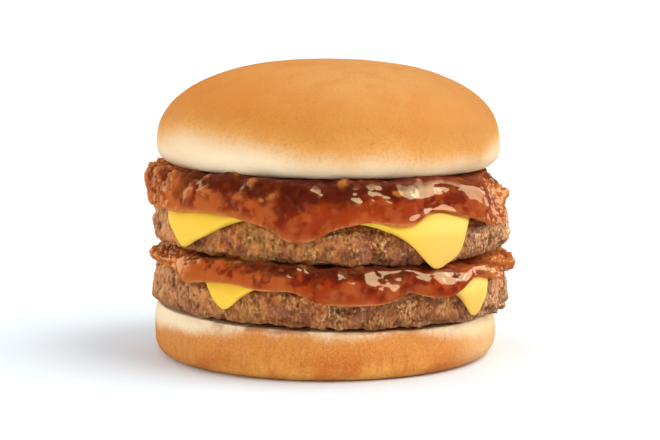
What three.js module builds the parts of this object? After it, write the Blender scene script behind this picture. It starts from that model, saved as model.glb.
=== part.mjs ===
// A double cheeseburger: bun heel, then twice over a beef patty, a slice of cheese and a thick chili sauce,
// then the bun crown. Millimetres, +Z up, the origin under the middle of the heel. The burger faces -Y.
//
// Every layer is one closed body round the z axis. Its section is worked out at each angle, from the top of
// the axis, round the rim, to the bottom. Cheese and sauce are draped: a point of a drape is a distance run
// outwards over the patty (flat top, round rim, upright side) and an offset from the patty's skin.
import * as THREE from "three";
import { ImprovedNoise } from "three/addons/math/ImprovedNoise.js";

const { degToRad, lerp, smoothstep, clamp } = THREE.MathUtils;

// Driving dimensions
const GAP = 0.3; // air between two pieces that touch
const DRAPE_GAP = 0.45; // and under a draped sheet, whose facets cut the corner of a round rim
const CROWN_RADIUS = 50.4;
const CROWN_DOME = 24.4; // from the widest ring up to the top
const CROWN_UNDERCUT = 5.8; // from the widest ring down to the cut face
const CROWN_CUT_RADIUS = 44.5;
const CROWN_FULLNESS = 2.3; // exponent of the dome's superellipse: 2 is an ellipse
const CROWN_SIDE_FULLNESS = 0.08; // fuller than that on the right, and less full on the left
const HEEL_RADIUS = 50.2;
const HEEL_SLIP = -1.2; // how far it sits to the left of the crown
const HEEL_HEIGHT = 14.4;
const HEEL_FOOT = 5.2; // round corner at the underside
const HEEL_LIP = 1.3; // round corner at the cut face
const PATTY_RADIUS = 51.8;
const PATTY_THICKNESS = 12;
const PATTY_RIM = 4; // round corner at the top
const CRAG_DEPTH = 1.7; // deepest crag in a patty's side
const CRAG_SIZES = [7, 3.6]; // coarse and fine crumbs of the meat
const SLICE_THICKNESS = 2.4;
const SLICE_SQUARENESS = 36; // exponent of the outline: higher is a sharper corner
const SAUCE_OVER_SLICE = DRAPE_GAP + SLICE_THICKNESS + GAP; // the sauce's underside off the patty's skin
const SAUCE_LIP = 1.3; // thickness of the sauce where it ends on the side
const SAUCE_SWELL = 0.25; // and how much thicker for each mm that it hangs down
const SAUCE_SLOPE = 1.8; // how far its side slopes in above the lip, where the shoulder has sunk
const LUMP_DEPTH = 0.8; // of the minced bits in the sauce
const LUMP_SIZE = 8;
const LAYER_CURL = 1.3; // how far the fillings curl up at both sides
const LAYER_LEAN = 1.1; // how far every layer above the foot leans down to the right
const CROWN_LEAN = 0.6; // and the crown, less

// How finely each round body is divided
const BUN_SIDES = 48;
const MEAT_SIDES = 76;
const SLICE_STEPS = 12; // along each side of the square
const SLICE_EDGE_ROW = 0.45; // between rows that close up at the slice's edge
const SAUCE_OUTER_ROWS = 9;
const SAUCE_INNER_ROWS = 7;
const LIP_TURNS = [50, 95, 140].map(degToRad); // round the lip, from its outer side inwards

// The two storeys of filling. Angles are in degrees from the front, positive to the right.
// A lobe is a tongue of sauce: [angle, half width, drop, squareness], its drop below 0 where the sauce is
// drawn up. A swell is where the slice's edge has slumped outwards, written as a lobe is. A bead is sauce
// pressed up round the crown's edge: [angle, half width]. A fall is how far the sauce's shoulder has sunk at
// the left and right end: 1 is about 2 mm.
const LOWER = {
  base: HEEL_HEIGHT + GAP,
  foot: 2.2, // round corner at the patty's underside
  slip: [0.4, -0.3],
  outline: [0.6, 180, 0.3, 15],
  slice: { side: 79.6, turn: -7.2, shift: [0.9, 6.2] },
  swells: [[50, 4, 2, 2]],
  sauceDepth: 1.5,
  sauceFall: [1.1, 1],
  sauceEdge: -0.3, // height of the sauce's edge over the patty's top
  sauceReach: [52.6, 1], // radius of its bulge, and how much more on the right
  beads: [],
  lobes: [
    [-92, 20, 0.4, 4], [-48, 9, 1.3, 2], [-18, 8, 1, 2], [6.5, 15.5, 4.3, 6], [34, 9, 2.6, 4],
    [51, 5.5, -1.2, 2], [63, 8, 0.8, 2], [92, 14, 2, 2], [138, 15, 4, 4], [-176, 14, 2.6, 2],
    [-138, 12, 3.6, 4],
  ],
};
const UPPER = {
  base: topOf(LOWER) + GAP,
  foot: 3,
  slip: [1, 0.2],
  outline: [0.8, 180, 0.35, 75],
  slice: { side: 83.5, turn: 11, shift: [0.2, 6] },
  swells: [[-39, 8, 2.5, 2], [39.5, 5.5, 5.5, 2]],
  sauceDepth: 8.2,
  sauceFall: [0, 1.8],
  sauceEdge: 0.9,
  sauceReach: [52.2, -2],
  beads: [[-76, 16], [165, 22]],
  lobes: [
    [-88, 20, 2, 2], [-57, 9, 0.6, 2], [-10, 11, 5.6, 2], [21, 6, 1.2, 2], [34, 7, -2.2, 2],
    [60, 11, 4.1, 2], [92, 10, 0.6, 2], [124, 14, 3.4, 2], [160, 12, 5, 4], [-166, 8, 1.6, 2],
    [-138, 12, 5.4, 2],
  ],
};
const CROWN_BASE = topOf(UPPER) + GAP;

function topOf(storey) {
  return storey.base + PATTY_THICKNESS + SAUCE_OVER_SLICE + storey.sauceDepth;
}

const noise = new ImprovedNoise();

// Round bumps with sharp creases between them, 0 in a crease and about 1 on a bump, of the given size in mm.
function billow(p, size, seed) {
  const n = Math.abs(noise.noise(p.x / size + seed, p.y / size - seed, p.z / size + 2 * seed));
  return Math.min(1, 2 * n);
}

// The layers aren't flat: the stack leans a little and its fillings curl up at both sides. The underside
// stays flat. The rise is even along each line out from the axis, so that neighbours of different fineness
// keep their distance.
function settle(p) {
  const r = Math.max(Math.hypot(p.x, p.y), 1);
  const crownEdge = CROWN_BASE - 2;
  const curl = smoothstep(p.z, HEEL_HEIGHT - 1, UPPER.base) * (1 - smoothstep(p.z, UPPER.base, crownEdge));
  const layerLean = LAYER_LEAN * smoothstep(p.z, 2, HEEL_HEIGHT);
  const lean = lerp(layerLean, CROWN_LEAN, smoothstep(p.z, UPPER.base, CROWN_BASE));
  p.z += (LAYER_CURL * r * (p.x / r) ** 4 * curl - lean * p.x) / CROWN_RADIUS;
  return p;
}

function at(angle, r, z) {
  return new THREE.Vector3(r * Math.sin(angle), -r * Math.cos(angle), z);
}

// A closed body round the z axis. section(angle) lists [r, z] from the top of the axis to the bottom, and
// relief(point, row, angle) may return how far that point moves outwards, away from the axis of its own rim.
function roundBody(angles, section, relief = () => 0) {
  const sections = angles.map(section);
  const rows = sections[0].length;
  const sides = angles.length;
  const points = [settle(at(0, ...sections[0][0]))];
  for (let row = 1; row < rows - 1; row++) {
    sections.forEach((s, i) => {
      const [r, z] = s[row];
      const along = [s[row + 1][0] - s[row - 1][0], s[row + 1][1] - s[row - 1][1]];
      const size = Math.hypot(...along);
      const p = at(angles[i], r, z);
      const push = relief(p, row, angles[i]);
      points.push(settle(at(angles[i], r - (push * along[1]) / size, z + (push * along[0]) / size)));
    });
  }
  points.push(settle(at(0, ...sections[0][rows - 1])));

  const index = [];
  const ring = (row, i) => 1 + (row - 1) * sides + (i % sides);
  for (let i = 0; i < sides; i++) {
    index.push(0, ring(1, i), ring(1, i + 1));
    for (let row = 1; row < rows - 2; row++) {
      const [a, b] = [ring(row, i), ring(row, i + 1)];
      const [d, c] = [ring(row + 1, i), ring(row + 1, i + 1)];
      index.push(a, d, c, a, c, b);
    }
    index.push(points.length - 1, ring(rows - 2, i + 1), ring(rows - 2, i));
  }
  const geometry = new THREE.BufferGeometry().setFromPoints(points);
  geometry.setIndex(index);
  geometry.computeVertexNormals();
  return geometry;
}

function evenAngles(sides) {
  return Array.from({ length: sides }, (_, i) => (2 * Math.PI * i) / sides - Math.PI);
}

// The lesser of two lengths, with a round passage between them
function softMin(a, b) {
  return (a + b - Math.hypot(a - b, 0.8)) / 2;
}

// n values from a to b, both included
function steps(a, b, n) {
  return Array.from({ length: n }, (_, i) => lerp(a, b, i / (n - 1)));
}

// A quarter of an ellipse, centre [r, z], half axes a and b, from angle t0 to t1 measured from straight up
function arc(r, z, a, b, t0, t1, n) {
  return steps(degToRad(t0), degToRad(t1), n).map((t) => [r + a * Math.sin(t), z + b * Math.cos(t)]);
}

// Two slow waves on a radius, so that no outline is a true circle
function wobble(angle, [deep, turn, shallow, phase]) {
  return deep * Math.cos(2 * angle - degToRad(turn)) + shallow * Math.cos(3 * angle - degToRad(phase));
}

// Bun

function crownGeometry() {
  const waist = CROWN_BASE + CROWN_UNDERCUT;
  const edge = arc(CROWN_CUT_RADIUS, waist, CROWN_RADIUS - CROWN_CUT_RADIUS, CROWN_UNDERCUT, 113, 180, 4);
  const section = (angle) => {
    const power = 2 / (CROWN_FULLNESS + CROWN_SIDE_FULLNESS * Math.sin(angle));
    const dome = steps(degToRad(8), Math.PI / 2, 9).map((t) => {
      return [CROWN_RADIUS * Math.sin(t) ** power, waist + CROWN_DOME * Math.max(0, Math.cos(t)) ** power];
    });
    const rim = 1 + wobble(angle, [0.3, 20, 0.25, 100]) / CROWN_RADIUS;
    return [[0, waist + CROWN_DOME], ...dome, ...edge, [0, CROWN_BASE]].map(([r, z]) => [r * rim, z]);
  };
  return roundBody(evenAngles(BUN_SIDES), section);
}

function heelGeometry() {
  const lip = arc(HEEL_RADIUS - 0.6 - HEEL_LIP, HEEL_HEIGHT - HEEL_LIP, HEEL_LIP, HEEL_LIP, 0, 70, 3);
  const foot = arc(HEEL_RADIUS - HEEL_FOOT, HEEL_FOOT, HEEL_FOOT, HEEL_FOOT, 98, 180, 5);
  const outline = [[0, HEEL_HEIGHT], ...lip, [HEEL_RADIUS - 0.1, HEEL_HEIGHT * 0.62], ...foot, [0, 0]];
  const rim = (angle) => 1 + wobble(angle, [0.35, 60, 0.3, 10]) / HEEL_RADIUS;
  return roundBody(evenAngles(BUN_SIDES), (angle) => outline.map(([r, z]) => [r * rim(angle), z]));
}

// Beef patty

function pattyRadius(storey, angle) {
  return PATTY_RADIUS + wobble(angle, storey.outline);
}

// The crags only cut into the patty's skin, so what lies on it stays clear. The flat faces are nearly smooth.
function pattyGeometry(storey) {
  const { base, foot } = storey;
  const top = base + PATTY_THICKNESS;
  const section = (angle) => {
    const side = pattyRadius(storey, angle);
    const flat = side - PATTY_RIM;
    return [
      [0, top], [flat - 3, top],
      ...arc(flat, top - PATTY_RIM, PATTY_RIM, PATTY_RIM, 12, 90, 4),
      [side, base + (PATTY_THICKNESS - PATTY_RIM + foot) / 2],
      ...arc(side - foot, base + foot, foot, foot, 90, 168, 4),
      [flat - 3, base], [0, base],
    ];
  };
  const lastRow = section(0).length - 1;
  const crag = (p, row) => {
    const side = smoothstep(Math.min(row, lastRow - row), 0.5, 4);
    const [coarse, fine] = CRAG_SIZES.map((size) => billow(p, size, base));
    const bump = 0.7 * coarse + 0.3 * fine;
    return -CRAG_DEPTH * lerp(0.08, 1, side) * (1 - bump);
  };
  return roundBody(evenAngles(MEAT_SIDES), section, crag);
}

// The drape: where a point lies that is `run` out from the axis over the patty and `offset` off its skin.
// `bend` is the offset at which lengths are true, the middle of the sheet's own thickness.
function drape(storey, angle, run, offset, bend) {
  const flat = pattyRadius(storey, angle) - PATTY_RIM;
  const hub = storey.base + PATTY_THICKNESS - PATTY_RIM;
  const quarter = (Math.PI / 2) * (PATTY_RIM + bend);
  if (run <= flat) return [run, hub + PATTY_RIM + offset];
  const turn = clamp((run - flat) / (PATTY_RIM + bend), 0, Math.PI / 2);
  const below = Math.max(0, run - flat - quarter);
  return [
    flat + (PATTY_RIM + offset) * Math.sin(turn),
    hub + (PATTY_RIM + offset) * Math.cos(turn) - below,
  ];
}

// The angle from one direction to another, in degrees between -180 and 180
function turnBetween(angle, degrees) {
  const d = (angle * 180) / Math.PI - degrees;
  return d - 360 * Math.round(d / 360);
}

function sumOfLobes(lobes, angle) {
  const lobe = ([where, width, size, power]) =>
    size * Math.exp(-(Math.abs(turnBetween(angle, where) / width) ** power));
  return lobes.reduce((sum, l) => sum + lobe(l), 0);
}

// Cheese

// How far the slice reaches from the patty's axis at an angle: the run that meets its round-cornered square,
// and its swells
function sliceReach(storey, angle) {
  const { side, turn, shift } = storey.slice;
  const [c, s] = [Math.cos(degToRad(turn)), Math.sin(degToRad(turn))];
  const outside = (run) => {
    const [x, front] = [run * Math.sin(angle) - shift[0], run * Math.cos(angle) - shift[1]];
    const [u, v] = [(x * c + front * s) / (side / 2), (front * c - x * s) / (side / 2)];
    return Math.abs(u) ** SLICE_SQUARENESS + Math.abs(v) ** SLICE_SQUARENESS > 1;
  };
  let [low, high] = [0, side];
  for (let i = 0; i < 24; i++) {
    const middle = (low + high) / 2;
    if (outside(middle)) high = middle;
    else low = middle;
  }
  return low + sumOfLobes(storey.swells, angle);
}

// Angles that meet each corner of the slice, with even steps along the side between two corners
function sliceAngles(storey) {
  const { turn, shift } = storey.slice;
  const half = storey.slice.side / 2;
  const angles = [];
  for (let side = 0; side < 4; side++) {
    for (let step = 0; step < SLICE_STEPS; step++) {
      const along = lerp(-half, half, step / SLICE_STEPS);
      const quarter = degToRad(turn + 90 * side);
      const x = shift[0] + along * Math.cos(quarter) - half * Math.sin(quarter);
      const front = shift[1] + along * Math.sin(quarter) + half * Math.cos(quarter);
      angles.push(Math.atan2(x, front));
    }
  }
  return angles.sort((a, b) => a - b);
}

function sliceGeometry(storey) {
  const top = DRAPE_GAP + SLICE_THICKNESS;
  const middle = DRAPE_GAP + SLICE_THICKNESS / 2;
  const section = (angle) => {
    const flat = pattyRadius(storey, angle) - PATTY_RIM;
    const reach = sliceReach(storey, angle);
    // rows run along the bend where the slice gets that far, and close up at its edge where it doesn't
    const alongBend = [-6, ...steps(0.6, 9, 5)];
    const runs = alongBend.map((beyond, k) =>
      softMin(flat + beyond, reach - SLICE_EDGE_ROW * (alongBend.length - k)));
    const row = (run, offset) => drape(storey, angle, run, offset, middle);
    return [
      row(0, top),
      ...runs.map((run) => row(run, top)),
      row(reach, middle + SLICE_THICKNESS * 0.25),
      row(reach, middle - SLICE_THICKNESS * 0.25),
      ...runs.toReversed().map((run) => row(run, DRAPE_GAP)),
      row(0, DRAPE_GAP),
    ];
  };
  return roundBody(sliceAngles(storey), section);
}

// Chili sauce

// How far sauce is pressed up at an angle, 0 to 1
function sauceBead(storey, angle) {
  const bead = ([where, width]) => Math.exp(-((turnBetween(angle, where) / width) ** 2));
  return storey.beads.reduce((sum, b) => sum + bead(b), 0);
}

// How far the sauce's shoulder has sunk at an angle
function sauceFall(storey, angle) {
  const [left, right] = storey.sauceFall;
  return (angle > 0 ? right : left) * smoothstep(Math.abs(Math.sin(angle)), 0.74, 0.95);
}

// How far out the cheese reaches under the sauce, with one step of the sauce's own mesh to spare
function coveredReach(storey, angle) {
  const step = (2 * Math.PI) / MEAT_SIDES;
  return Math.max(...[-1.2, 0, 1.2].map((k) => sliceReach(storey, angle + k * step)));
}

function sauceGeometry(storey) {
  const pattyTop = storey.base + PATTY_THICKNESS;
  const top = topOf(storey);
  const edge = pattyTop + storey.sauceEdge;
  const bend = DRAPE_GAP + SLICE_THICKNESS / 2;
  const section = (angle) => {
    const flat = pattyRadius(storey, angle) - PATTY_RIM;
    const reach = coveredReach(storey, angle);
    const drop = sumOfLobes(storey.lobes, angle);
    const bead = sauceBead(storey, angle);
    const fall = sauceFall(storey, angle);
    const lip = SAUCE_LIP + SAUCE_SWELL * Math.max(0, drop);
    const low = edge - drop;
    // the inner face lies over the cheese, then on the patty; the lower edge is a round lip on its end
    const offset = (run) => lerp(SAUCE_OVER_SLICE, DRAPE_GAP, smoothstep(run, reach + 1.5, reach + 5));
    const onSkin = (run, thickness = 0) => drape(storey, angle, run, offset(run) + thickness, bend);
    let end = flat + 2.3;
    while (onSkin(end)[1] > low) end += 0.2;
    const round = (turn) => onSkin(end - (lip / 2) * (1 - Math.sin(turn)), (lip / 2) * (1 + Math.cos(turn)));
    const [lipR, lipZ] = round(0);
    const [even, toRight] = storey.sauceReach;
    const bulge = Math.max(even + toRight * Math.sin(angle), lipR - SAUCE_SLOPE * fall);
    const outer = new THREE.SplineCurve([
      new THREE.Vector2(flat - 3.8, top),
      new THREE.Vector2(flat + 0.2 - 1.6 * fall, top + 0.3 * bead - 1.3 * fall),
      new THREE.Vector2(
        lerp(flat, bulge, 0.75) + 0.5 * bead - 0.8 * fall,
        lerp(top, lipZ, 0.15) + 1.1 * bead - 2.4 * fall,
      ),
      new THREE.Vector2(bulge, lerp(top, lipZ, Math.min(0.85, 0.55 + 0.3 * fall))),
      new THREE.Vector2(lipR, lipZ),
      new THREE.Vector2(...round(LIP_TURNS[0])),
    ]);
    return [
      [0, top],
      ...outer.getSpacedPoints(SAUCE_OUTER_ROWS - 1).map((p) => p.toArray()),
      ...LIP_TURNS.slice(1).map(round),
      ...steps(end - lip / 2, flat - 1, SAUCE_INNER_ROWS).map((run) => onSkin(run)),
      [flat - 5, pattyTop + SAUCE_OVER_SLICE], [0, pattyTop + SAUCE_OVER_SLICE],
    ];
  };
  const lump = (p, row) => {
    const shown = smoothstep(row, 2, 4.5) * (1 - smoothstep(row, SAUCE_OUTER_ROWS - 1, SAUCE_OUTER_ROWS));
    return LUMP_DEPTH * shown * (billow(p, LUMP_SIZE, 11 + storey.base) - 0.4);
  };
  return roundBody(evenAngles(MEAT_SIDES), section, lump);
}

// Materials and assembly

const toast = { color: 0xdda25f, roughness: 0.6, metalness: 0 };
const beef = { color: 0x7d5a41, roughness: 0.55, metalness: 0 };
const cheese = { color: 0xfbd04f, roughness: 0.35, metalness: 0 };
const chili = { color: 0x9a3a1c, roughness: 0.2, metalness: 0 };

function piece(name, geometry, finish) {
  const mesh = new THREE.Mesh(geometry, new THREE.MeshStandardMaterial(finish));
  mesh.name = name;
  return mesh;
}

function filling(level, storey) {
  const group = new THREE.Group();
  group.add(
    piece(`patty_${level}`, pattyGeometry(storey), beef),
    piece(`cheese_${level}`, sliceGeometry(storey), cheese),
    piece(`sauce_${level}`, sauceGeometry(storey), chili),
  );
  group.position.set(...storey.slip, 0);
  return group;
}

const heel = piece("bun_heel", heelGeometry(), toast);
heel.position.x = HEEL_SLIP;
const burger = new THREE.Group();
burger.add(
  heel,
  filling("lower", LOWER),
  filling("upper", UPPER),
  piece("bun_crown", crownGeometry(), toast),
);

// The box round the whole burger is centred over the origin
const middle = new THREE.Box3().setFromObject(burger, true).getCenter(new THREE.Vector3());
burger.position.set(-middle.x, -middle.y, 0);

export default burger;
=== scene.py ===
import math
import random

import bpy
import numpy as np
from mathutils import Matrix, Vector
from mathutils import noise
from mathutils.kdtree import KDTree


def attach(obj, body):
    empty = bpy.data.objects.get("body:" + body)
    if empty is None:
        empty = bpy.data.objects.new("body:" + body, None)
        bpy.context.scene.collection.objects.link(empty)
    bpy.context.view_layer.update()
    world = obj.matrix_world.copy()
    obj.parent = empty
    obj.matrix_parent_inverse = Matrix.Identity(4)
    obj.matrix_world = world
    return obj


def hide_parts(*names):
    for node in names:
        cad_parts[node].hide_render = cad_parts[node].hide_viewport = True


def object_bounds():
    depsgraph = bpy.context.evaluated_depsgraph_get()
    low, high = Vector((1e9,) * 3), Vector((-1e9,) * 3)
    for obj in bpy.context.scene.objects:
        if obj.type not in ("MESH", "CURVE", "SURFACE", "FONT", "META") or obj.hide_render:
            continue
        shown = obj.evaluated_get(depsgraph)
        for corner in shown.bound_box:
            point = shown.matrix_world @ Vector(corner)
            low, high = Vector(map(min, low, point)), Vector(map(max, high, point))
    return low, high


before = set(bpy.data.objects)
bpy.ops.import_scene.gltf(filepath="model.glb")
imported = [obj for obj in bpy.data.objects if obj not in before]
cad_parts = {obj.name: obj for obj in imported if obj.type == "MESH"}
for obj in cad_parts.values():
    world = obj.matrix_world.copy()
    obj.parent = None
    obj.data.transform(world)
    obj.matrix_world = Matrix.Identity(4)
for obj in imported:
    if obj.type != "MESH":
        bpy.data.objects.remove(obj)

cad_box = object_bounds()


# Bun heel: the bottom half of a soft white bun, cut flat across. Its crust is thin and golden, most of all
# at the foot, with fine pores and upright streaks. The cut lip shows pale crumb, which the beef's juice
# stains brown here and there.

MM = 0.001


def points_of(piece):
    """The places of a mesh's corners, one row each."""
    points = np.empty(3 * len(piece.data.vertices), np.float32)
    piece.data.vertices.foreach_get("co", points)
    return points.reshape(-1, 3)


def move_points(piece, points):
    piece.data.vertices.foreach_set("co", np.asarray(points, np.float32).ravel())
    piece.data.update()


def smooth_copy(node, name, reach):
    """A copy of a CAD solid as an object of its own, rounded by subdivision, that keeps its form.

    Subdivision pulls the surface in from its corners, so they are moved out until it meets the CAD's, by
    `reach` millimetres at most."""
    subdivisions = 3
    corrections = 3
    piece = bpy.data.objects.new(name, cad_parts[node].data.copy())
    piece.data.materials.clear()
    bpy.context.scene.collection.objects.link(piece)
    bpy.ops.object.select_all(action="DESELECT")
    piece.select_set(True)
    bpy.context.view_layer.objects.active = piece
    bpy.ops.mesh.customdata_custom_splitnormals_clear()
    bpy.ops.object.mode_set(mode="EDIT")
    bpy.ops.mesh.select_all(action="SELECT")
    bpy.ops.mesh.remove_doubles(threshold=0.01 * MM)
    bpy.ops.mesh.tris_convert_to_quads(face_threshold=math.pi, shape_threshold=math.pi)
    bpy.ops.object.mode_set(mode="OBJECT")
    bpy.ops.object.shade_smooth()
    rounding = piece.modifiers.new("rounding", "SUBSURF")
    rounding.levels = subdivisions
    rounding.render_levels = subdivisions
    corners = points_of(piece)
    for _ in range(corrections):
        rounded = points_of(piece.evaluated_get(bpy.context.evaluated_depsgraph_get()))[:len(corners)]
        shift = points_of(piece) - rounded
        length = np.linalg.norm(shift, axis=1, keepdims=True)
        move_points(piece, corners + shift * np.minimum(1, reach * MM / np.maximum(length, 1e-9)))
    bpy.ops.object.modifier_apply(modifier=rounding.name)
    return piece


def emboss(piece, pattern, size, depth, still=0.5, where="", tall=1, **settings):
    """Moves the surface out and in by a solid pattern, and leaves it where the pattern's value is `still`.

    Size and depth are in millimetres, and the grains are `tall` times as high as they are wide."""
    texture = bpy.data.textures.new(f"{piece.name}_{pattern.lower()}", pattern)
    for setting, value in settings.items():
        setattr(texture, setting, value)
    texture.noise_scale = size * MM
    relief = piece.modifiers.new("relief", "DISPLACE")
    relief.texture = texture
    guide = bpy.data.objects.new("guide", None)
    guide.scale = (1, 1, tall)
    bpy.context.scene.collection.objects.link(guide)
    relief.texture_coords = "OBJECT"
    relief.texture_coords_object = guide
    relief.strength = depth * MM
    relief.mid_level = still
    relief.vertex_group = where
    bpy.ops.object.modifier_apply(modifier=relief.name)
    bpy.data.objects.remove(guide)


def shade(red, green, blue):
    """A colour given as it looks on a screen, 0 to 255, as the shaders take it."""
    def linear(value):
        value /= 255
        return value / 12.92 if value <= 0.04045 else ((value + 0.055) / 1.055) ** 2.4
    return (linear(red), linear(green), linear(blue), 1.0)


class Signal:
    """The output of a shader node, so that sums on it are written as plain expressions."""

    def __init__(self, finish, socket):
        self.finish = finish
        self.socket = socket

    def sum(self, operation, *values):
        return self.finish.node("ShaderNodeMath", {"operation": operation}, dict(enumerate(values)))

    def __add__(self, other):
        return self.sum("ADD", self, other)

    def __sub__(self, other):
        return self.sum("SUBTRACT", self, other)

    def __rsub__(self, other):
        return self.sum("SUBTRACT", other, self)

    def __mul__(self, other):
        return self.sum("MULTIPLY", self, other)

    __radd__ = __add__
    __rmul__ = __mul__


class Finish:
    """A material and its surface shader. `even` holds the values that are the same all over."""

    def __init__(self, name, even):
        self.material = bpy.data.materials.new(name)
        self.material.use_nodes = True
        self.tree = self.material.node_tree
        self.surface = self.tree.nodes["Principled BSDF"]
        for socket, value in even.items():
            self.surface.inputs[socket].default_value = value
        place = self.node("ShaderNodeTexCoord", output="Object")
        self.place = self.node("ShaderNodeVectorMath", {"operation": "SCALE"}, {0: place, 3: 1 / MM})
        parts = self.node("ShaderNodeSeparateXYZ", sockets={0: self.place}).socket.node
        self.x = Signal(self, parts.outputs["X"])
        self.z = Signal(self, parts.outputs["Z"])

    def node(self, kind, settings=None, sockets=None, output=0):
        """Adds any node, with its settings and with values or signals for its sockets."""
        node = self.tree.nodes.new(kind)
        for setting, value in (settings or {}).items():
            setattr(node, setting, value)
        for socket, value in (sockets or {}).items():
            if isinstance(value, Signal):
                self.tree.links.new(value.socket, node.inputs[socket])
            else:
                node.inputs[socket].default_value = value
        return Signal(self, node.outputs[output])

    def paint(self, socket, value):
        """Feeds what changes over the surface to a socket of its shader."""
        self.tree.links.new(value.socket, self.surface.inputs[socket])

    def stretched(self, stretch):
        """Places in millimetres, with a pattern drawn out along each axis by that factor."""
        factors = tuple(1 / value for value in stretch)
        return self.node("ShaderNodeVectorMath", {"operation": "MULTIPLY"}, {0: self.place, 1: factors})

    def mottle(self, size, detail=2, stretch=(1, 1, 1)):
        """Cloudy unevenness from 0 to 1 with patches of that size."""
        return self.node("ShaderNodeTexNoise", {}, {
            "Vector": self.stretched(stretch), "Scale": 1 / size, "Detail": detail})

    def cells(self, size):
        """Grains of that size: how far a place is from the middle of its grain."""
        return self.node("ShaderNodeTexVoronoi", {}, {"Vector": self.place, "Scale": 1 / size}, "Distance")

    def attribute(self, name):
        """What keep stored on the mesh under that name."""
        return self.node("ShaderNodeAttribute", {"attribute_name": name}, output="Fac")

    def bump(self, height):
        """Fine relief, given in millimetres, too small for the mesh."""
        self.paint("Normal", self.node("ShaderNodeBump", {}, {"Distance": MM, "Height": height}))


def fade(signal, start, end):
    """0 where the signal is at start or before it, 1 where it is at end or past it."""
    return signal.finish.node("ShaderNodeMapRange", {"interpolation_type": "SMOOTHSTEP"}, {
        0: signal, 1: start, 2: end, 3: 0.0, 4: 1.0})


def blend(share, first, second):
    """The first colour where the share is 0, the second where it is 1."""
    return share.finish.node("ShaderNodeMix", {"data_type": "RGBA"}, {0: share, 6: first, 7: second}, 2)


def keep_inside(piece):
    """Holds a piece within the box of the CAD model, which its relief may pass by a hair."""
    lowest, highest = cad_box
    move_points(piece, np.clip(points_of(piece), lowest, highest))


def mark(piece, name, weights):
    """Names a region of a piece, so that a relief can be kept to it."""
    group = piece.vertex_groups.new(name=name)
    for index, weight in enumerate(weights):
        if weight > 0:
            group.add([index], float(weight), "REPLACE")


def ease(values, start, end):
    """What fade does, for an array of numbers."""
    share = np.clip((values - start) / (end - start), 0, 1)
    return share * share * (3 - 2 * share)


heel = smooth_copy("bun_heel", "bun_heel_crust", reach=0.3)
mark(heel, "crust", ease(points_of(heel)[:, 2], 1.5 * MM, 5 * MM))
emboss(heel, "CLOUDS", size=12, depth=0.7, where="crust")
emboss(heel, "CLOUDS", size=2.5, depth=0.16, where="crust")
keep_inside(heel)

heel_crust = Finish("heel crust", {
    "Roughness": 0.62, "Subsurface Weight": 0.08, "Subsurface Scale": 2 * MM, "Specular IOR Level": 0.3})
patches = heel_crust.mottle(14, 3)
upright = heel_crust.mottle(1.0, 2, (1, 1, 8))
grain = heel_crust.mottle(0.6, 3)
pores = 1 - fade(heel_crust.cells(0.8), 0.1, 0.4)
# The pale band reaches higher at both ends; at the left this also paints light over the shade under the
# patty's rim.
paler = 3.5 * fade(heel_crust.x, -20, -48) + 5 * fade(heel_crust.x, 18, 50)
level = heel_crust.z + 5 * (patches - 0.5) + 2.4 * (upright - 0.5) + 2 * (grain - 0.5) + paler
colour = blend(fade(level, 15.6, 11), shade(250, 224, 184), shade(220, 139, 61))
colour = blend(fade(level, 7, 1), colour, shade(236, 164, 72))
colour = blend(fade(patches, 0.44, 0.7) * fade(level, 12, 5) * 0.85, colour, shade(204, 106, 34))
colour = blend(fade(upright, 0.5, 0.7) * fade(level, 15, 12) * 0.4, colour, shade(196, 112, 46))
colour = blend(fade(grain, 0.5, 0.66) * fade(level, 14, 10) * 0.15, colour, shade(248, 190, 116))
colour = blend(fade(grain, 0.48, 0.36) * fade(level, 14, 10) * 0.25, colour, shade(184, 98, 38))
pitted = pores * fade(level, 14, 10) * fade(heel_crust.mottle(3), 0.35, 0.6)
colour = blend(pitted * 0.4, colour, shade(176, 90, 34))
# Painted light: the heel's right end is painted paler, over the shade that falls on it.
colour = blend(fade(heel_crust.x + 6 * (patches - 0.5), 32, 46) * 0.6, colour, shade(240, 202, 146))
juice = fade(heel_crust.z + 2 * (heel_crust.mottle(1.8, 3) - 0.5), 12.8, 14.2)
juice = juice * fade(heel_crust.mottle(9, 2), 0.36, 0.54)
juice = juice * fade(heel_crust.x, -44, -22) * fade(heel_crust.x, 46, 32)
colour = blend(juice * 0.75, colour, shade(170, 96, 46))
heel_crust.paint("Base Color", colour)
heel_crust.bump(0.2 * grain - 0.1 * pores + 0.2 * upright)

heel.data.materials.append(heel_crust.material)
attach(heel, "root")
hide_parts("bun_heel")


# Beef patties: two thin discs of coarse ground beef, pressed and griddled brown. The rim is crumbly, with
# clumps of mince, creases between them and small pits, and it glistens with fat where it catches the light.
# Glints, shade in its pits and a darker bottom are also painted into its colour.


def normals_of(piece):
    """The way each corner of a mesh faces, one row each."""
    normals = np.empty(3 * len(piece.data.vertices), np.float32)
    piece.data.vertices.foreach_get("normal", normals)
    return normals.reshape(-1, 3)


def keep(piece, name, values):
    """Stores one number a vertex for the material to read."""
    attribute = piece.data.attributes.new(name, "FLOAT", "POINT")
    attribute.data.foreach_set("value", np.asarray(values, np.float32))


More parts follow.
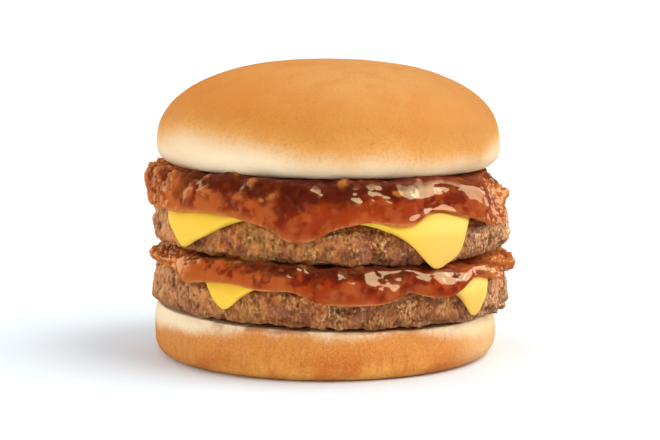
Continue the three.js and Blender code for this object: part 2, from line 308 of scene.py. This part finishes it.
beef = Finish("griddled beef", {
    "Roughness": 0.5, "Subsurface Weight": 0.05, "Subsurface Scale": 1.5 * MM, "Specular IOR Level": 0.4,
    "Coat Roughness": 0.12, "Coat IOR": 1.7})
patches = beef.mottle(8, 2)
clumps = beef.mottle(2.6, 3, (1, 1, 1.4))
grains = beef.mottle(0.8, 3, (1, 1, 1.5))
# Where the beef shines with fat, is rougher and has glints painted on it: the middle and the right end.
shine_and_painted_glints = fade(beef.x, -10, 0) * fade(beef.x, 30, 18) + 1.4 * fade(beef.x, 33, 41)
rough = fade(beef.mottle(4, 3) + 0.1 * shine_and_painted_glints, 0.53, 0.66)
# Painted shade: deeper brown patches at the right end stand for the shade in the creases between its
# crumbs.
painted_crevice_shade = fade(beef.mottle(3, 4), 0.46, 0.38) * fade(beef.x, 32, 40)
relief = beef.attribute("relief") + 0.5 * (grains - 0.5)
height = beef.attribute("height") + 0.3 * (beef.mottle(3) - 0.5)
colour = blend(fade(clumps, 0.35, 0.65), shade(143, 74, 29), shade(206, 123, 58))
colour = blend(fade(patches, 0.48, 0.62) * 0.6, colour, shade(214, 146, 74))
colour = blend(fade(patches, 0.46, 0.34) * 0.5, colour, shade(158, 92, 72))
# Painted light: the ends of the patties are painted paler, the right end most, as if lit from the sides.
ends = fade(beef.x * beef.x, 28 ** 2, 46 ** 2) * (0.35 + 0.35 * fade(beef.x, -10, 10))
colour = blend(ends, colour, shade(242, 168, 112))
colour = blend(fade(grains, 0.48, 0.36) * (0.4 + 0.3 * rough), colour, shade(90, 40, 12))
# Painted highlights: pale glints on the grains, most where the beef is rough.
colour = blend(fade(grains, 0.53, 0.65) * (0.2 + 0.6 * rough), colour, shade(250, 202, 150))
# Painted light and shade: raised crumbs are painted paler and the pits between them darker.
colour = blend(fade(relief, 0.1, 0.8) * 0.4, colour, shade(234, 172, 112))
colour = blend(fade(relief, -0.25, -0.9) * 0.8, colour, shade(66, 28, 12))
colour = blend(painted_crevice_shade * 0.7, colour, shade(96, 40, 14))
# Painted shade: each patty is painted darker towards its bottom, where it curves under.
colour = blend(fade(height, 0.4, 0.1) * 0.5, colour, shade(104, 56, 26))
beef.paint("Base Color", colour)
beef.paint("Coat Weight", fade(beef.mottle(2.5, 3), 0.46, 0.6) * (0.4 + 0.6 * rough))
beef.bump((0.6 + 0.7 * rough) * grains + 0.3 * clumps)

craggy = {"noise_type": "HARD_NOISE", "noise_depth": 1}
for storey in ("lower", "upper"):
    patty = smooth_copy(f"patty_{storey}", f"beef_patty_{storey}", reach=0.5)
    before = points_of(patty)
    outward = normals_of(patty)
    rim = ease(np.hypot(before[:, 0], before[:, 1]), 44 * MM, 48 * MM)
    mark(patty, "rim", rim)
    mark(patty, "ends", rim * ease(abs(before[:, 0]), 34 * MM, 44 * MM))
    emboss(patty, "CLOUDS", size=5, depth=1.2, still=0.4, where="rim", tall=1.3, **craggy)
    emboss(patty, "CLOUDS", size=2.2, depth=1.1, where="rim", tall=1.3, noise_depth=3)
    emboss(patty, "VORONOI", size=1.4, depth=-0.2, still=0.45, where="rim", tall=1.4)
    emboss(patty, "CLOUDS", size=0.8, depth=0.35, where="rim", tall=1.6, **craggy)
    emboss(patty, "CLOUDS", size=4, depth=1.3, where="ends", tall=1.6)
    keep_inside(patty)
    keep(patty, "relief", ((points_of(patty) - before) * outward).sum(axis=1) / MM)
    lowest, highest = before[:, 2].min(), before[:, 2].max()
    keep(patty, "height", (before[:, 2] - lowest) / (highest - lowest))
    patty.data.materials.append(beef.material)
    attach(patty, "root")
    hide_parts(f"patty_{storey}")


# Cheese slices: two square slices of processed cheese, one on each patty. They are smooth and soft from the
# heat, with rounded cut edges, and their corners droop over the patty's rim.

cheese = Finish("processed cheese", {
    "Roughness": 0.5, "Subsurface Weight": 0.25, "Subsurface Scale": 3 * MM,
    "Subsurface Radius": (1.0, 0.6, 0.12), "Specular IOR Level": 0.3})
colour = blend(fade(cheese.mottle(12), 0.35, 0.65), shade(253, 205, 72), shade(252, 198, 60))
# Painted sheen: the right side, where the key lamp falls, is painted paler and less green.
colour = blend(fade(cheese.x, 14, 32) * 0.7, colour, shade(248, 194, 100))
cheese.paint("Base Color", colour)
cheese.bump(0.05 * cheese.mottle(3))

for storey in ("lower", "upper"):
    slice_piece = smooth_copy(f"cheese_{storey}", f"cheese_slice_{storey}", reach=4)
    emboss(slice_piece, "CLOUDS", size=8, depth=0.5)
    slice_piece.data.materials.append(cheese.material)
    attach(slice_piece, "root")
    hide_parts(f"cheese_{storey}")


# Chili sauce: a thick glossy red-brown sauce ladled over each slice, which hangs over the rim in lobes.
# It is poured hot and sets like jelly over small bits of meat and onion, which show as pale lumps under it.

side_radius = 42 * MM


def up_side(piece):
    """How far up its hanging side each place is, from 0 at the lip below it to 1 at the top."""
    sector_angle = 2
    sectors = 360 // sector_angle
    points = points_of(piece)
    outer = np.hypot(points[:, 0], points[:, 1]) > side_radius
    turn = np.degrees(np.arctan2(points[:, 1], points[:, 0]))
    sector = np.round(turn / sector_angle).astype(int) % sectors
    lip = np.full(sectors, 1.0)
    top = np.full(sectors, -1.0)
    np.minimum.at(lip, sector[outer], points[outer, 2])
    np.maximum.at(top, sector[outer], points[outer, 2])
    return np.clip((points[:, 2] - lip[sector]) / (top - lip)[sector], 0, 1)


def drop_bits(piece, seed, count, likely):
    """Pushes bits of mince and onion out from under the sauce, more of them where they are likely, and
    keeps how much of a bit each place is."""
    chance = random.Random(seed)
    points = points_of(piece)
    normals = normals_of(piece)
    tree = KDTree(len(points))
    for index, point in enumerate(points):
        tree.insert(point, index)
    tree.balance()
    bits = np.zeros(len(points))
    for middle in chance.choices(range(len(points)), weights=likely, k=count):
        size = chance.uniform(0.8, 2.2) * MM
        long_way = Vector([chance.gauss(0, 1) for _ in range(3)]).normalized()
        stretch = chance.uniform(1.0, 1.9)
        height = size * chance.uniform(0.2, 0.4)
        pale = chance.uniform(0.3, 1.0)
        push = Vector(normals[middle])
        for point, index, _ in tree.find_range(points[middle], size * stretch):
            away = point - Vector(points[middle])
            along = away.dot(long_way)
            across = (away - long_way * along).length
            outline = 0.6 * noise.noise(point / (0.9 * MM))
            reach = math.hypot(along / stretch, across) / size + outline
            if reach >= 1:
                continue
            dome = (1 - reach * reach) ** 1.5 if reach > 0 else 1
            piece.data.vertices[index].co += push * height * dome
            bits[index] = max(bits[index], dome * pale)
    keep(piece, "bits", bits)


sauce = Finish("chili sauce", {
    "Roughness": 0.4, "Subsurface Weight": 0.12, "Subsurface Scale": 1.2 * MM,
    "Subsurface Radius": (1.0, 0.25, 0.1), "Specular IOR Level": 0.1, "Coat Roughness": 0.08,
    "Coat IOR": 1.8})
patches = sauce.mottle(6, 2)
specks = sauce.mottle(1.4, 3)
relief = sauce.attribute("relief")
rise = sauce.attribute("rise") + 0.4 * (patches - 0.5)
middle = 1 - fade(sauce.x * sauce.x, 14 ** 2, 34 ** 2)
ends = fade(sauce.x * sauce.x, 34 ** 2, 48 ** 2)
# The top of the sauce under the crown is painted deep maroon: partly its own deeper colour, partly painted
# shade from the crown.
dark_and_painted_shade = fade(rise + 0.2 * middle + 0.5 * (sauce.mottle(3, 3) - 0.5), 0.6, 0.95)
dark_and_painted_shade = dark_and_painted_shade * (1 - 0.5 * ends) * (0.7 + 0.3 * fade(sauce.x, 34, 14))
body = blend(fade(sauce.x, -36, 0), shade(190, 90, 34), shade(158, 54, 12))
lip = blend(fade(sauce.x, -24, 6), shade(198, 112, 54), shade(180, 86, 38))
colour = blend(fade(rise, -0.06, 0.2), lip, body)
colour = blend(fade(sauce.mottle(9, 2), 0.48, 0.6) * 0.4, colour, shade(190, 100, 48))
streaks = fade(sauce.mottle(5, 3), 0.47, 0.58) * fade(rise, 0.0, 0.3)
colour = blend(streaks * 0.85, colour, shade(116, 24, 6))
colour = blend(fade(sauce.mottle(3.2, 3), 0.5, 0.66) * 0.4, colour, shade(192, 102, 44))
# Painted shade under the crown, over the sauce's own deeper top.
colour = blend(dark_and_painted_shade * (0.8 + 0.2 * fade(sauce.mottle(2.5), 0.6, 0.4)), colour, shade(82, 24, 8))
# Painted light and shade: raised places are painted paler and hollows darker.
colour = blend(fade(relief, 0.15, 0.9) * 0.35 * (1 - dark_and_painted_shade), colour, shade(212, 112, 50))
colour = blend(fade(relief, 0.0, -0.8) * fade(rise, 0.2, 0.6) * 0.6, colour, shade(88, 24, 8))
# At the ends the raised places are painted tan: partly thin sauce over the mince, partly painted light from
# the side lamps.
colour = blend(ends * fade(relief + 0.6 * (specks - 0.5), -0.3, 0.7) * 0.7, colour, shade(218, 134, 64))
colour = blend(fade(sauce.attribute("bits"), 0.0, 0.9) * 0.6, colour, shade(216, 132, 62))
# The bottom edge of each lip gets a thin paler line: partly the thin sauce, partly a painted highlight.
thin_lip_painted_highlight = fade(sauce.attribute("rise"), 0.08, 0.02) * fade(sauce.mottle(4), 0.4, 0.55)
colour = blend(thin_lip_painted_highlight * 0.6, colour, shade(226, 140, 84))
sauce.paint("Base Color", colour)
sauce.paint("Coat Weight", (1 - fade(rise, 0.8, 0.94)) * (1 - 0.5 * ends))
sauce.bump(0.03 * sauce.mottle(1.3, 2))

# The lower sauce's side is short and less shaded at the top, so its rise ends at 0.78.
for storey, seed, count, top_rise in (("lower", 3, 34, 0.78), ("upper", 8, 60, 1)):
    layer = smooth_copy(f"sauce_{storey}", f"chili_sauce_{storey}", reach=0.7)
    before = points_of(layer)
    outward = normals_of(layer)
    rise = up_side(layer)
    outer = ease(np.hypot(before[:, 0], before[:, 1]), side_radius, side_radius + 4 * MM)
    ends = outer * ease(abs(before[:, 0]), 38 * MM, 47 * MM)
    meaty = ease(rise, 0.3, 0.7) * (1 - 0.8 * ease(before[:, 0], 8 * MM, 28 * MM))
    mark(layer, "side", outer * ease(rise, 0.08, 0.3) * (1 - 0.5 * ease(before[:, 0], 5 * MM, 20 * MM)))
    mark(layer, "lumpy", outer * meaty)
    mark(layer, "ends", ends)
    emboss(layer, "CLOUDS", size=14, depth=1.6)
    emboss(layer, "CLOUDS", size=7, depth=1.2, where="side")
    emboss(layer, "CLOUDS", size=5, depth=1.5, where="lumpy")
    emboss(layer, "CLOUDS", size=2.4, depth=0.6, where="lumpy")
    emboss(layer, "CLOUDS", size=1.7, depth=1.2, still=0.2, where="ends", tall=2.4, **craggy)
    keep(layer, "relief", ((points_of(layer) - before) * outward).sum(axis=1) / MM)
    keep(layer, "rise", rise * top_rise)
    # The layer above presses the sauce's top edge out at the front and back, which closes the gap there.
    pressed = outer * ease(rise, 0.75, 0.95) * ease(abs(before[:, 0]), 40 * MM, 28 * MM)
    move_points(layer, points_of(layer) + 0.8 * MM * pressed[:, None] * outward)
    likely = outer * meaty * (1 - ends) + 1e-6
    drop_bits(layer, seed, count, likely)
    keep_inside(layer)
    layer.data.materials.append(sauce.material)
    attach(layer, "root")
    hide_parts(f"sauce_{storey}")


# Bun crown: the domed top half of the bun. Its smooth crust is baked golden on top, a little deeper on one
# side, and stays pale in a band above the cut, where it was shaded in the oven.

crown = smooth_copy("bun_crown", "bun_crown_crust", reach=0.3)
emboss(crown, "CLOUDS", size=14, depth=0.4, still=0.6)
keep_inside(crown)

crown_crust = Finish("crown crust", {
    "Roughness": 0.6, "Subsurface Weight": 0.08, "Subsurface Scale": 2 * MM, "Specular IOR Level": 0.1})
patches = crown_crust.mottle(20, 3)
fine = crown_crust.mottle(0.8, 3)
pores = 1 - fade(crown_crust.cells(1.0), 0.1, 0.35)
paler = 5.4 * fade(crown_crust.x, -5, -34) - 3 * fade(crown_crust.x, -40, -50)
paler = paler - 1.5 * fade(crown_crust.x, 10, 30) + 4 * fade(crown_crust.x, 40, 50)
level = crown_crust.z + 5 * (patches - 0.5) + 1.5 * (fine - 0.5) - paler
colour = blend(fade(level, 56, 65), shade(248, 222, 184), shade(222, 156, 80))
colour = blend(fade(level, 63, 70), colour, shade(205, 136, 64))
colour = blend(fade(level, 70, 82), colour, shade(212, 150, 84))
deeper = fade(crown_crust.x + 30 * (patches - 0.5), 10, -45) * fade(level, 62, 70)
colour = blend(deeper * 0.7, colour, shade(210, 126, 42))
clouded = fade(crown_crust.mottle(9, 3), 0.46, 0.66) * fade(level, 60, 68)
colour = blend(clouded * 0.25, colour, shade(198, 116, 50))
colour = blend(fade(fine, 0.48, 0.68) * fade(level, 58, 66) * 0.22, colour, shade(190, 110, 44))
pitted = pores * fade(crown_crust.mottle(5), 0.45, 0.65) * fade(level, 56, 66)
colour = blend(pitted * 0.3, colour, shade(168, 92, 38))
band_ends = fade(crown_crust.x * crown_crust.x, 26 ** 2, 46 ** 2) * fade(level, 63, 57)
colour = blend(band_ends * 0.35, colour, shade(222, 186, 140))
# Painted shade: the crown's right side is painted darker, to hold back the lamps that light it more
# strongly.
colour = blend(fade(crown_crust.x, 16, 44) * fade(level, 58, 66) * 0.4, colour, shade(196, 128, 62))
crown_crust.paint("Base Color", colour)
crown_crust.bump(0.05 * crown_crust.mottle(1.0, 3) - 0.06 * pores)

crown.data.materials.append(crown_crust.material)
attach(crown, "root")
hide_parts("bun_crown")


# The studio: a pale floor and soft lamps under a weak white sky. The key lamp stands on the right, and
# weaker ones on the left, above and behind. Lamps in amber and cream, which show only in reflections, give
# the sauce its warm shine.

bpy.ops.mesh.primitive_plane_add(size=40)
floor = bpy.context.object
floor.name = "floor"
paper = Finish("white paper", {"Specular IOR Level": 0, "Base Color": shade(238, 247, 255)})
floor.data.materials.append(paper.material)
floor.visible_glossy = False

white, warm, cream, amber = (1, 1, 1), (1, 0.97, 0.9), (1, 0.86, 0.6), (1, 0.8, 0.45)
for side, rise, strength, spread, colour, lights, shines in (
        (75, 42, 2.75, 66, warm, True, False),
        (75, 42, 4.5, 66, amber, False, True),
        (-35, 18, 1.3, 40, white, True, False),
        (-118, 16, 0.95, 70, white, True, False),
        (180, 75, 0.95, 80, white, True, False),
        (-140, 14, 0.5, 45, warm, True, False),
        (-136, 14, 0.7, 45, amber, False, True),
        (116, 18, 1.2, 36, cream, False, True),
        (138, 14, 0.35, 45, warm, True, False)):
    turn = math.radians(side)
    toward = Vector((math.sin(turn), -math.cos(turn), math.tan(math.radians(rise))))
    bpy.ops.object.light_add(type="SUN", location=toward)
    lamp = bpy.context.object
    lamp.rotation_euler = toward.to_track_quat("Z", "Y").to_euler()
    lamp.data.energy = strength
    lamp.data.color = colour
    lamp.data.angle = math.radians(spread)
    lamp.visible_diffuse = lights
    lamp.visible_glossy = shines

sky = bpy.data.worlds.new("white sky")
sky.use_nodes = True
sky.node_tree.nodes["Background"].inputs["Color"].default_value = (0.92, 0.97, 1, 1)
sky.node_tree.nodes["Background"].inputs["Strength"].default_value = 0.15
sky.cycles_visibility.glossy = False
bpy.context.scene.world = sky

# The camera stands 0.62 m in front of the burger, a little higher than its crown.
bpy.ops.object.camera_add(location=(-0.0004, -0.623, 0.120))
camera = bpy.context.object
aim = Vector((-0.0002, 0, 0.0386)) - camera.location
camera.rotation_euler = aim.to_track_quat("-Z", "Y").to_euler()
camera.data.sensor_width = 36
camera.data.lens = 117.2
bpy.context.scene.camera = camera
bpy.context.scene.view_settings.view_transform = "Standard"
